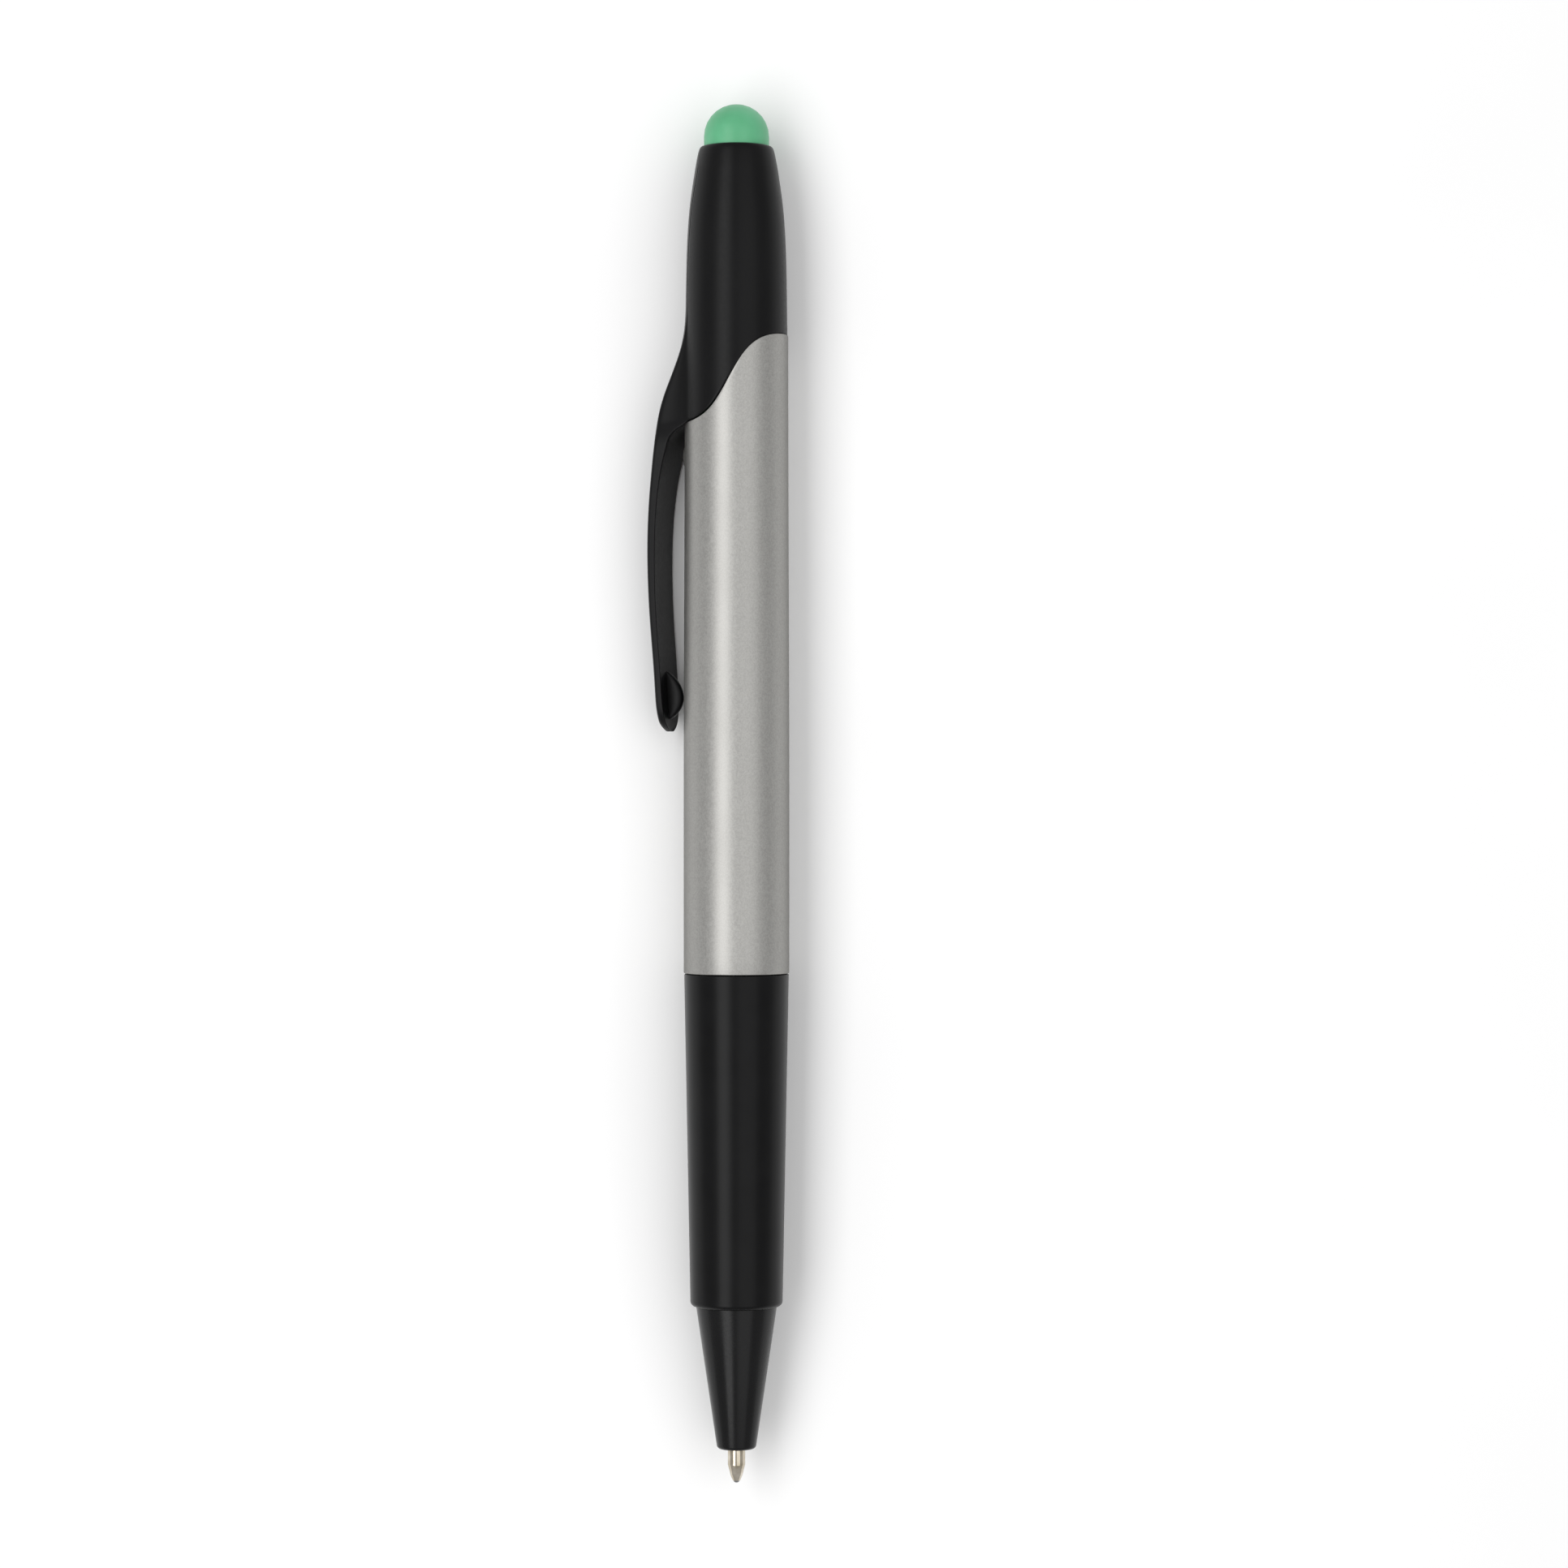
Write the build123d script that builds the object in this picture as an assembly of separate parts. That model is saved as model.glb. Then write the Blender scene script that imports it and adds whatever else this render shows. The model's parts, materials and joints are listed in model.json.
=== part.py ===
"""Ballpoint pen with a capped highlighter at the other end, lying on a table.

The pen lies along X: the stylus dome is at the -X end and the writing tip at the +X end. It is rolled
about its own axis until the edge of the pocket clip rests on the table beside the barrel, which is how
such a pen comes to rest. Lengths are millimetres.

Most pieces are turned about the pen's axis. They are drawn in the pen's own frame, where a station is a
distance from the top of the stylus dome, the axis is X and the clip points to -Y, and place() then puts
them on the table.
"""

import os

from build123d import *
from math import exp, pi, sin

# ---- driving dimensions ---------------------------------------------------------------------------
LENGTH = 156.7          # stylus dome to ball, point out
BARREL_R = 6.0          # plain lower band of the silver barrel
MOUTH_R = 5.9           # barrel at its open mouth; the moulding draft narrows it by this little
WALL_BORE = 4.75        # bore of the barrel and of the cap's lower half
CLIP_ROLL = 18.18       # degrees below the horizontal at which the clip's edge meets the table
SLIDE_GAP = 0.1         # clearance round pieces that slide or turn
SEAT_GAP = 0.03         # clearance between pieces that are pressed or glued together
FILL_GAP = 0.02         # clearance inside the refill: round the ink, the spigot and the ball

# stations along the pen
CAP_RIM = 4.85          # flat top of the cap, round the dome
CAP_FLOOR = 6.4         # inner face of the cap's end wall
MOUTH_REAR = 25.85      # joint between cap and barrel, on the side away from the clip
MOUTH_CLIP = 36.3       # the same joint under the clip
CLIP_END = 71.25
BAND_START = 73.5       # where the barrel's draft ends and its plain band begins
SEAM = 98.75            # lower end of the barrel, where the grip section turns
GRIP_END = 136.6
CONE_END = 152.8

# motion
STROKE = 5.5            # how far the point is drawn in
TWIST = 180             # degrees of twist that draw it in
CLIP_HINGE = (39.6, 8.25)   # station and height of the line that the clip bends about

# highlighter
NIB_R = 1.82
NIB_TOP = 11.54
COLLAR_TOP = 16.6
HOLDER_R = 4.64
HOLDER_END = 60.0
RESERVOIR_R = 3.9

# refill and twist mechanism
POINT_R = 1.0
FLANGE_R = 1.42         # collar on the point that the spring pushes against
BALL_R = 0.4
TUBE_R = 1.5
TUBE_BORE = 0.95
TUBE_START = 89.7
TUBE_END = 146.0
LUG_R = 0.8
LUG_STATION = 75.0
NECK_START = 79.3
NECK_R = 4.62

AXIS_Y = 2.19           # the pen's axis, beside the middle of the whole width
REACH = 20              # half-width of the blocks that cut shapes to their outlines

os.makedirs("parts", exist_ok=True)


def place(shape):
    """Rolls a piece from the pen's own frame onto the table."""
    return Pos(-LENGTH / 2, AXIS_Y, BARREL_R) * Rot(CLIP_ROLL, 0, 0) * shape


def turned(*points):
    """A solid of revolution about the pen's axis, from (station, radius) points."""
    return revolve(make_face(Polyline(*points, close=True)), Axis.X)


def rod(start, end, radius):
    """A plain cylinder on the axis, from one station to another."""
    return Pos((start + end) / 2, 0, 0) * Rot(0, 90, 0) * Cylinder(radius, end - start)


def tube(start, end, outer, inner):
    return rod(start, end, outer) - rod(start - 1, end + 1, inner)


def save(name, shape):
    """Places a piece and writes it, as one solid or as a group of separate ones."""
    solids = place(shape).solids()
    export_step(solids[0] if len(solids) == 1 else Compound(children=list(solids)), f"parts/{name}.step")
    print(f"{name:22s} {len(solids)} solid(s) {sum(s.volume for s in solids):9.2f} mm3")


# ---- the S-shaped joint between cap and barrel ------------------------------------------------------
def mouth_station(height):
    """Station of the joint at a height of the side view: flat, then steep past the middle, then flat."""
    share = 1 / (1 + exp(4.2 * (height / BARREL_R - 0.205)))
    return MOUTH_REAR + (MOUTH_CLIP - MOUTH_REAR) * share


def joint_region(shift, towards_cap):
    """Everything on one side of the S-shaped joint, moved along the pen by shift."""
    heights = [7.5 - 15 * k / 16 for k in range(17)]
    curve = Spline(*[(mouth_station(y), y) for y in heights])
    far = -5 if towards_cap else 110
    start, end = curve @ 0, curve @ 1
    sides = Polyline(end, (end.X, -REACH), (far, -REACH), (far, REACH), (start.X, REACH), start)
    return Pos(shift, 0, 0) * extrude(make_face(curve + sides), REACH, both=True)


# ---- cap -------------------------------------------------------------------------------------------
def cap_body():
    """The cap's turned outside: a rounded rim, then a long swell that runs out to the barrel's width."""
    rim = ThreePointArc((CAP_RIM, 4.05), (CAP_RIM + 0.35, 4.27), (CAP_RIM + 1.5, 4.52))
    swell = Spline(
        (CAP_RIM + 1.5, 4.52), (10.2, 5.16), (15.8, 5.62), (23.0, 5.78), (40.0, 5.88),
        tangents=[(1, 0.2), (1, 0.005)],
    )
    closing = Polyline((40.0, 5.88), (40.0, 0), (CAP_RIM, 0), (CAP_RIM, 4.05))
    return revolve(make_face(rim + swell + closing), Axis.X)


def clip_blank():
    """The whole clip: its side outline crossed with its plan outline, then rounded along its edges."""
    outer = Spline(
        (24.3, -5.3), (26.9, -5.98), (30.55, -6.95), (34.2, -8.25), (39.8, -9.25), (50.9, -10.02),
        (61.9, -9.45), (69.6, -8.92), tangents=[(1, -0.2), (1, 0.1)],
    )
    tip = ThreePointArc((69.6, -8.92), (CLIP_END - 0.3, -8.55), (CLIP_END, -7.8))
    inner = Spline(
        (CLIP_END, -7.8), (61.9, -8.37), (54.0, -8.8), (45.3, -8.55), (41.6, -8.0), (38.4, -7.0),
        (36.7, -5.6), tangents=[(-1, -0.06), (-0.25, 1)],
    )
    root = Polyline((36.7, -5.6), (36.3, -5.0), (24.3, -5.0), (24.3, -5.3))
    side = extrude(make_face(outer + tip + inner + root), 6, both=True)
    half_plan = Spline(
        (22.0, 2.0), (26.5, 3.1), (31.0, 3.5), (38.0, 3.4), (48.8, 3.15), (66.0, 3.0),
        tangents=[(1, 0.4), (1, -0.02)],
    )
    nose = ThreePointArc((66.0, 3.0), (70.1, 1.9), (CLIP_END + 0.05, 0))
    edge = half_plan + nose + Polyline((CLIP_END + 0.05, 0), (22.0, 0), (22.0, 2.0))
    half = make_face(edge)
    plan = extrude(Plane.XZ * (half + mirror(half, Plane.XZ)), 14)
    blank = side & plan
    long_edges = [
        e for e in blank.edges()
        if e.length > 20 and (e @ 0.5).Y < -8.95 and abs((e @ 0.5).Z) > 1
    ]
    return fillet(long_edges, 0.45)


def hinge_pin_space(radius):
    station, height = CLIP_HINGE
    return Pos(station, -height, 0) * Cylinder(radius, 12)


def beyond_hinge():
    return Pos(CLIP_HINGE[0] + 30, -10, 0) * Box(60, 20, 20)


def snap_rib():
    """The thin rib on the clip's underside that presses cloth against the barrel."""
    outline = Spline((64.4, -8.1), (65.6, -6.85), (67.4, -6.3), (68.9, -6.75), (69.9, -7.8))
    back = Polyline((69.9, -7.8), (69.6, -8.2), (64.7, -8.5), (64.4, -8.1))
    return extrude(make_face(outline + back), 0.45, both=True)


def cap_shell():
    root = clip_blank() - beyond_hinge() - hinge_pin_space(1.38)
    root -= rod(MOUTH_CLIP - 0.8, 50, BARREL_R)
    body = (cap_body() & joint_region(0, True)) + root
    hollow = rod(17.2, 50, WALL_BORE) + rod(CAP_FLOOR, 18, 3.8) + rod(CAP_RIM - 1, CAP_RIM + 0.5, 3.75)
    return body - hollow - rod(CAP_RIM, CAP_FLOOR + 1, 2.05)


def clip():
    blank = clip_blank()
    return (blank & beyond_hinge()) + (blank & hinge_pin_space(1.32)) + snap_rib()


def inner_cap():
    """The soft liner that seals the highlighter: a stepped cup that hugs the holder's shoulder."""
    return turned(
        (6.8, 0), (6.8, 3.77), (17.25, 3.77), (17.25, WALL_BORE - SEAT_GAP),
        (24.4, WALL_BORE - SEAT_GAP), (24.6, 4.62), (24.6, 4.54), (22.55, 4.54), (19.9, 2.95),
        (7.45, 2.95), (7.45, 0),
    )


def stylus_dome():
    """A hollow silicone dome on a short skirt that sits in the recess in the cap's top."""
    radius, wall, foot = 3.7, 0.9, CAP_RIM + 0.45
    outer = ThreePointArc((0, 0), (radius * (1 - sin(pi / 4)), radius * sin(pi / 4)), (radius, radius))
    bore = radius - wall
    inner = ThreePointArc((radius, bore), (radius - bore * sin(pi / 4), bore * sin(pi / 4)), (wall, 0))
    skirt = Polyline((radius, radius), (foot, radius), (foot, bore), (radius, bore))
    return revolve(make_face(outer + skirt + inner + Line((wall, 0), (0, 0))), Axis.X)


def stylus_plug():
    """The peg that fills the dome's skirt and snaps through the cap's end wall."""
    barb = turned((CAP_FLOOR + 0.03, 0), (CAP_FLOOR + 0.03, 2.3), (6.75, 1.9), (6.75, 0))
    return rod(4.0, CAP_RIM + 0.47, 2.77) + rod(CAP_RIM + 0.4, CAP_FLOOR + 0.1, 2.0) + barb


# ---- silver barrel -----------------------------------------------------------------------------------
def barrel_envelope():
    """The outside of the barrel as a plain turned solid, before its mouth is cut."""
    edge = 0.12
    return turned(
        (20, 0), (20, MOUTH_R - 0.02), (40, MOUTH_R), (BAND_START, BARREL_R),
        (SEAM - edge, BARREL_R), (SEAM, BARREL_R - edge), (SEAM, 0),
    )


def barrel():
    """The moulded barrel: a scooped mouth, a bulkhead behind the highlighter and a lens-shaped boss."""
    bulkhead = (61.5, 63.0)
    bores = rod(10, bulkhead[0], WALL_BORE) + rod(bulkhead[1], SEAM + 1, WALL_BORE)
    shell = barrel_envelope() - bores
    boss = Pos(40.0, -2.8, 0) * Sphere(3.4) - rod(30, 50, WALL_BORE + 0.3)
    return (shell & joint_region(SLIDE_GAP, False)) + boss


# ---- highlighter -------------------------------------------------------------------------------------
def highlighter_holder():
    """The coloured tube that holds nib and reservoir, with its collar, shoulder and sealing groove."""
    outside = turned(
        (COLLAR_TOP, 0), (COLLAR_TOP, 2.25), (COLLAR_TOP + 0.4, 2.68), (20.0, 2.68), (22.8, 4.45),
        (23.0, 4.5), (23.7, 4.5), (24.05, 4.34), (24.5, 4.34), (24.85, HOLDER_R), (HOLDER_END, HOLDER_R - 0.02),
        (HOLDER_END, 0),
    )
    chamber = rod(25.6, HOLDER_END + 1, RESERVOIR_R + SEAT_GAP)
    return outside - chamber - rod(COLLAR_TOP - 1, 27, NIB_R + SEAT_GAP)


def highlighter_nib():
    """A felt rod with a slanting writing face and rounded edges, and a tapered tail in the reservoir."""
    felt = rod(NIB_TOP, 30.0, NIB_R) + turned((29.9, 0), (29.9, NIB_R), (31.4, 0.8), (31.4, 0))
    face = Plane(origin=(NIB_TOP, 0.35, -0.6), z_dir=(-0.56, -0.4, 0.72))
    back = Plane(origin=(NIB_TOP + 0.15, -0.3, -1.1), z_dir=(-0.72, 0.1, -0.68))
    for bevel in (face, back):
        felt -= bevel * Pos(0, 0, 5) * Box(20, 20, 10)
    tip_edges = [e for e in felt.edges() if e.center().X < NIB_TOP + 4.5]
    return fillet(tip_edges, 0.3)


def ink_reservoir():
    core = rod(26.4, 57.3, RESERVOIR_R)
    socket = turned((26, 0), (26, NIB_R + SEAT_GAP), (30, NIB_R + SEAT_GAP), (31.5, 0.85), (31.5, 0))
    return core - socket


def reservoir_end_plug():
    return rod(57.4, HOLDER_END + 0.02, RESERVOIR_R) + rod(HOLDER_END + 0.02, 61.3, HOLDER_R) - rod(59, 62, 2.6)


# ---- twist mechanism -----------------------------------------------------------------------------------
def cam_sleeve():
    """The fixed sleeve whose two slots climb STROKE in half a turn and so drive the follower's lugs."""
    sleeve = tube(63.1, 79.0, WALL_BORE - SEAT_GAP, 3.35)
    mid_r, width = 4.0, 2 * LUG_R + 2 * SLIDE_GAP
    path = Helix(pitch=STROKE * 360 / TWIST, height=STROKE, radius=mid_r, direction=(-1, 0, 0), lefthand=True)
    section = Plane(origin=path @ 0, x_dir=(path @ 0) - Vector((path @ 0).X, 0, 0), z_dir=path % 0)
    slot = sweep(section * Rectangle(2.6, width), path=path, is_frenet=True)
    for t in (0, 1):
        end = path @ t
        out = Vector(0, end.Y, end.Z).normalized()
        slot += Plane(origin=end, z_dir=out) * Cylinder(width / 2, 2.6)
    slot = Pos(LUG_STATION, 0, 0) * Rot(-angle_of(path @ 0), 0, 0) * slot
    return sleeve - slot - Rot(180, 0, 0) * slot


def angle_of(point):
    """Angle of a point about the pen's axis, in degrees from +Y towards +Z."""
    return Vector(0, point.Y, point.Z).get_signed_angle(Vector(0, 1, 0), Vector(-1, 0, 0))


def cam_follower():
    """The plunger: two lugs ride in the cam, two keys turn with the grip and its stem pushes the refill."""
    body = rod(72.0, 78.0, 3.25) + rod(78.0, TUBE_START - 0.05, 2.3)
    for side in (1, -1):
        body += Pos(LUG_STATION, side * 3.7, 0) * Rot(90, 0, 0) * Cylinder(LUG_R, 1.5)
        body += Pos(87.3, 0, side * 2.6) * Box(4.2, 1.0, 1.0)
    return body - rod(71, 76.5, 1.9)


def swivel_bush():
    """The split bush that is pressed into the barrel and holds the grip section in while it turns."""
    ring = tube(90.1, 93.9, WALL_BORE - SEAT_GAP, 3.96)
    return ring - Pos(92, 4.4, 0) * Box(6, 2.4, 1.6)


def twist_o_ring():
    return Pos(96.2, 0, 0) * Rot(0, 90, 0) * Torus(4.16, 0.48)


# ---- grip section ---------------------------------------------------------------------------------------
def lower_barrel():
    """The grip section's core: a necked tube with grooves for bush and ring, and slots for the follower."""
    outside = turned(
        (NECK_START, 0), (NECK_START, NECK_R), (90.0, NECK_R), (90.0, 3.9), (94.0, 3.9),
        (94.0, NECK_R), (95.6, NECK_R), (95.6, 3.66), (96.8, 3.66), (96.8, NECK_R),
        (SEAM + SLIDE_GAP, NECK_R), (SEAM + SLIDE_GAP, 4.83), (136.4, 4.58), (136.4, 0),
    )
    bores = rod(NECK_START - 1, TUBE_START, 2.4) + rod(TUBE_START - 1, 131, 2.1) + rod(129.5, 138, 3.6)
    keyways = Pos(84.4, 0, 0) * Box(10.6, 1.2, 6.4)
    return outside - bores - keyways


def grip_sleeve():
    """The soft sleeve: tapered, with a rounded lip where the cone comes out of it."""
    lip = 0.75
    top, foot = SEAM + SLIDE_GAP, GRIP_END
    foot_r = 5.24
    outline = Polyline((top, 4.85), (top, 5.83), (top + 0.12, 5.95), (foot - lip, foot_r))
    round_lip = ThreePointArc((foot - lip, foot_r), (foot - 0.2, foot_r - 0.2), (foot, foot_r - 0.62))
    inside = Polyline((foot, foot_r - 0.62), (136.4, 4.6), (top, 4.85))
    return revolve(make_face(outline + round_lip + inside), Axis.X)


def nose_cone():
    """The tapered nose: a spigot in the core, the visible cone, and the bore for spring and point."""
    spigot = (130.5, 3.55)
    cone = turned((136.45, 0), (136.45, 4.58), (136.7, 4.58), (CONE_END, 2.2), (CONE_END, 0))
    end_edge = cone.edges().group_by(Axis.X)[-1]
    cone = fillet(end_edge, 0.5)
    bore = rod(spigot[0] - 1, 151.2, 1.75)
    return cone + rod(spigot[0], 136.5, spigot[1]) - bore - rod(150, CONE_END + 1, POINT_R + 0.08)


# ---- refill ------------------------------------------------------------------------------------------------
def refill_tube():
    return tube(TUBE_START, TUBE_END, TUBE_R, TUBE_BORE)


def refill_ink():
    return rod(96.0, 141.8, TUBE_BORE - FILL_GAP)


def refill_point():
    """The metal point: a barbed spigot in the tube, a flange for the spring, and the writing nose."""
    seat = LENGTH - BALL_R
    shoulder, rim, rim_r = 154.25, seat + 0.13, 0.43
    spigot = rod(142.0, TUBE_END, TUBE_BORE - FILL_GAP)
    body = spigot + rod(TUBE_END, TUBE_END + 0.5, FLANGE_R) + rod(TUBE_END, shoulder, POINT_R)
    nose_edge = Bezier((shoulder, POINT_R), (155.45, 0.88), (rim, rim_r))
    nose_core = Polyline((rim, rim_r), (rim, 0), (shoulder, 0), (shoulder, POINT_R))
    nose = revolve(make_face(nose_edge + nose_core), Axis.X)
    socket = Pos(seat, 0, 0) * Sphere(BALL_R + FILL_GAP)
    return body + nose - socket - rod(141, seat, 0.2)


def refill_ball():
    return Pos(LENGTH - BALL_R, 0, 0) * Sphere(BALL_R)


def return_spring():
    """The coil that pushes the refill back, squeezed between the point's flange and the nose."""
    wire_r, coil_r, turns = 0.14, 1.4, 8
    start, end = TUBE_END + 0.5 + wire_r + 0.02, 151.2 - wire_r - 0.02
    path = Helix(pitch=(end - start) / turns, height=end - start, radius=coil_r, direction=(1, 0, 0))
    section = Plane(origin=path @ 0, z_dir=path % 0) * Circle(wire_r)
    return Pos(start, 0, 0) * sweep(section, path=path, is_frenet=True)


for piece in (
    cap_shell, clip, inner_cap, stylus_dome, stylus_plug, barrel, highlighter_holder, highlighter_nib,
    ink_reservoir, reservoir_end_plug, cam_sleeve, cam_follower, swivel_bush, twist_o_ring,
    lower_barrel, grip_sleeve, nose_cone, refill_tube, refill_ink, refill_point, refill_ball,
    return_spring,
):
    save(piece.__name__, piece())
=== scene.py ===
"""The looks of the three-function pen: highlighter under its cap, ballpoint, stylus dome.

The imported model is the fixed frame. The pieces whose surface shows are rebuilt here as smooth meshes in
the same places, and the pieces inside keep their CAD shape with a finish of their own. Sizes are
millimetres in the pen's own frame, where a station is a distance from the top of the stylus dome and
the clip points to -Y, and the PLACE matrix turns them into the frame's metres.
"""

import json

import bmesh
import bpy
from math import asin, atan2, ceil, cos, degrees, exp, pi, radians, sin, sqrt, tan
from mathutils import Matrix, Vector


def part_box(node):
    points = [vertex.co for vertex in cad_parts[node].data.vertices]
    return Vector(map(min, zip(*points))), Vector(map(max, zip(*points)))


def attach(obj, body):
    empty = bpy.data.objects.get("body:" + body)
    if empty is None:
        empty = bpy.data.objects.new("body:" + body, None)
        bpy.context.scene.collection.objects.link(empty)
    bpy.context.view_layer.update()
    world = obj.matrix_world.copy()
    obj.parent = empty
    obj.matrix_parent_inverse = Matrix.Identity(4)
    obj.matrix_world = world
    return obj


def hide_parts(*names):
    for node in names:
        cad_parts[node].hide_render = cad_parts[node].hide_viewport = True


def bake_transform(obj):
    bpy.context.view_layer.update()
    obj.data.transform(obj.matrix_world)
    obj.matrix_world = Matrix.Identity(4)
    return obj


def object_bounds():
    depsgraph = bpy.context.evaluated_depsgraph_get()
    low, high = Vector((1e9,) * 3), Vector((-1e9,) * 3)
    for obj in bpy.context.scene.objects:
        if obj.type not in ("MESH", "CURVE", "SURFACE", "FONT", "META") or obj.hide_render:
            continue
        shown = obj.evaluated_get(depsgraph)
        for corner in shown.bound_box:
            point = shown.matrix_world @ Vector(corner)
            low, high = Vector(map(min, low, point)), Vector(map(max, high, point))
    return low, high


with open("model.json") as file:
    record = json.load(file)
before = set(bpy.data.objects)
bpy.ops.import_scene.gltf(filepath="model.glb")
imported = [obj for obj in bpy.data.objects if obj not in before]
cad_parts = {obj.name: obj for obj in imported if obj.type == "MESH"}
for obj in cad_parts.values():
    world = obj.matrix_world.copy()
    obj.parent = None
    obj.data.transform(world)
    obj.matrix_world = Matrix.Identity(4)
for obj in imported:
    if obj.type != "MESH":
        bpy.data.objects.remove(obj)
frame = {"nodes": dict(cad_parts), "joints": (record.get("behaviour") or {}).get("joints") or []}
CAD_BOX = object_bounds()
MM = 0.001

# ---- the pen's frame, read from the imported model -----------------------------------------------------
grip_low, grip_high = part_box("grip_sleeve")
ORIGIN = Vector((CAD_BOX[0].x, (grip_low.y + grip_high.y) / 2, (grip_low.z + grip_high.z) / 2))
JOINTS = {joint["name"]: joint for joint in frame["joints"]}
CLIP_AXIS = JOINTS["clip_flex"]["axis"]
ROLL = atan2(CLIP_AXIS[1], -CLIP_AXIS[2])
PLACE = Matrix.Translation(ORIGIN) @ Matrix.Rotation(ROLL, 4, "X") @ Matrix.Scale(MM, 4)


def station_of(x):
    """The station of a plane across the frame's X axis."""
    return (x - ORIGIN.x) / MM


LENGTH = station_of(CAD_BOX[1].x)
BARREL_R = ORIGIN.z / MM
SEAM = station_of(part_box("barrel")[1].x)
GRIP_TOP = station_of(grip_low.x)
GRIP_END = station_of(grip_high.x)
CONE_END = station_of(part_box("nose_cone")[1].x)
CLIP_END = station_of(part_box("clip")[1].x)

# ---- sizes that the boxes don't give, in millimetres -------------------------------------------------
MOUTH_REAR = 25.85      # joint between cap and barrel, away from the clip
MOUTH_DROP = 10.45      # how much nearer to the tip it is under the clip
MOUTH_GAP = 0.1         # clearance between cap and barrel along the pen
WALL_BORE = 4.75        # bore of the barrel and of the cap's lower half
CAP_RIM = 4.85          # flat top of the cap, round the dome
CAP_FLOOR = 6.4         # inner face of the cap's end wall
POINT_R = 1.0           # the ballpoint's metal nose
BALL_R = 0.4            # its ball
TUBE_END = 146.0        # where the metal point's flange meets the refill's tube
SPRING_SEAT = 151.2     # step inside the nose that the spring rests on


# ---- mesh tools --------------------------------------------------------------------------------------
def rounded(corners):
    """Points along a half outline whose corners (station, radius, rounding) are turned into arcs."""
    points = []
    for i, (s, r, rounding) in enumerate(corners):
        here = Vector((s, r))
        if rounding == 0 or i in (0, len(corners) - 1):
            points.append(here)
            continue
        back = (Vector(corners[i - 1][:2]) - here).normalized()
        ahead = (Vector(corners[i + 1][:2]) - here).normalized()
        half_angle = back.angle(ahead) / 2
        reach = rounding / tan(half_angle)
        centre = here + (back + ahead).normalized() * rounding / sin(half_angle)
        first, last = here + back * reach - centre, here + ahead * reach - centre
        sweep = first.angle_signed(last)
        steps = max(2, ceil(abs(degrees(sweep)) / 15))
        for k in range(steps + 1):
            a = -sweep * k / steps
            turned = Vector((first.x * cos(a) - first.y * sin(a), first.x * sin(a) + first.y * cos(a)))
            points.append(centre + turned)
    return points


def new_piece(name, bm, body, material, replaced, crisp=35):
    """Makes a mesh object from pen-frame millimetres, and says which body, slot and nodes it goes with."""
    bmesh.ops.recalc_face_normals(bm, faces=bm.faces)
    mesh = bpy.data.meshes.new(name)
    bm.to_mesh(mesh)
    bm.free()
    mesh.transform(PLACE)
    mesh.shade_smooth()
    if crisp:
        mesh.set_sharp_from_angle(angle=radians(crisp))
    piece = bpy.data.objects.new(name, mesh)
    bpy.context.scene.collection.objects.link(piece)
    mesh.materials.append(material)
    if body:
        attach(piece, body)
    if replaced:
        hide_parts(*replaced)
    return piece


def spin(bm, outline, sides=96):
    """Adds the surface that an outline of (station, radius) points sweeps round the pen's axis."""
    rings = []
    for s, r in outline:
        if r < 1e-6:
            rings.append([bm.verts.new((s, 0, 0))])
        else:
            rings.append([
                bm.verts.new((s, r * cos(2 * pi * k / sides), r * sin(2 * pi * k / sides)))
                for k in range(sides)
            ])
    for a, b in zip(rings, rings[1:]):
        for k in range(sides):
            n = (k + 1) % sides
            corners = {id(v): v for v in (a[k % len(a)], a[n % len(a)], b[n % len(b)], b[k % len(b)])}
            if len(corners) > 2:
                bm.faces.new(corners.values())


def turned_piece(name, corners, body, material, replaced, sides=96, closed=False):
    """A turned piece. A closed outline, such as a tube's, runs round to where it started."""
    bm = bmesh.new()
    outline = rounded(corners)
    if closed:
        outline.append(outline[0])
    spin(bm, outline, sides)
    if closed:
        bmesh.ops.remove_doubles(bm, verts=bm.verts, dist=1e-5)
    return new_piece(name, bm, body, material, replaced)


def eased(x, start, end):
    """0 before start, 1 after end, smooth between."""
    t = min(1.0, max(0.0, (x - start) / (end - start)))
    return t * t * (3 - 2 * t)


def mouth_station(y):
    """The S-shaped joint between cap and barrel: its station at a height y of the side view."""
    share = 1 / (1 + exp(4.2 * (y / BARREL_R - 0.205)))
    return MOUTH_REAR + MOUTH_DROP * share


def along(x, table):
    """Smooth reading of a short table of (x, value) pairs."""
    x = min(max(x, table[0][0]), table[-1][0])
    slopes = [(b[1] - a[1]) / (b[0] - a[0]) for a, b in zip(table, table[1:])]
    i = next(k for k in range(len(slopes)) if x <= table[k + 1][0])
    (x0, v0), (x1, v1) = table[i], table[i + 1]
    start_slope = (slopes[i - 1] + slopes[i]) / 2 if i else slopes[0]
    end_slope = (slopes[i] + slopes[i + 1]) / 2 if i + 1 < len(slopes) else slopes[-1]
    t = (x - x0) / (x1 - x0)
    flow = start_slope * t * (1 - t) ** 2 - end_slope * t * t * (1 - t)
    return v0 + (v1 - v0) * t * t * (3 - 2 * t) + (x1 - x0) * flow


# ---- materials ---------------------------------------------------------------------------------------
def linear(hex_colour):
    """An sRGB hex colour as the linear one that a shader wants."""
    levels = [int(hex_colour[i:i + 2], 16) / 255 for i in (1, 3, 5)]
    return [v / 12.92 if v <= 0.04045 else ((v + 0.055) / 1.055) ** 2.4 for v in levels] + [1.0]


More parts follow.
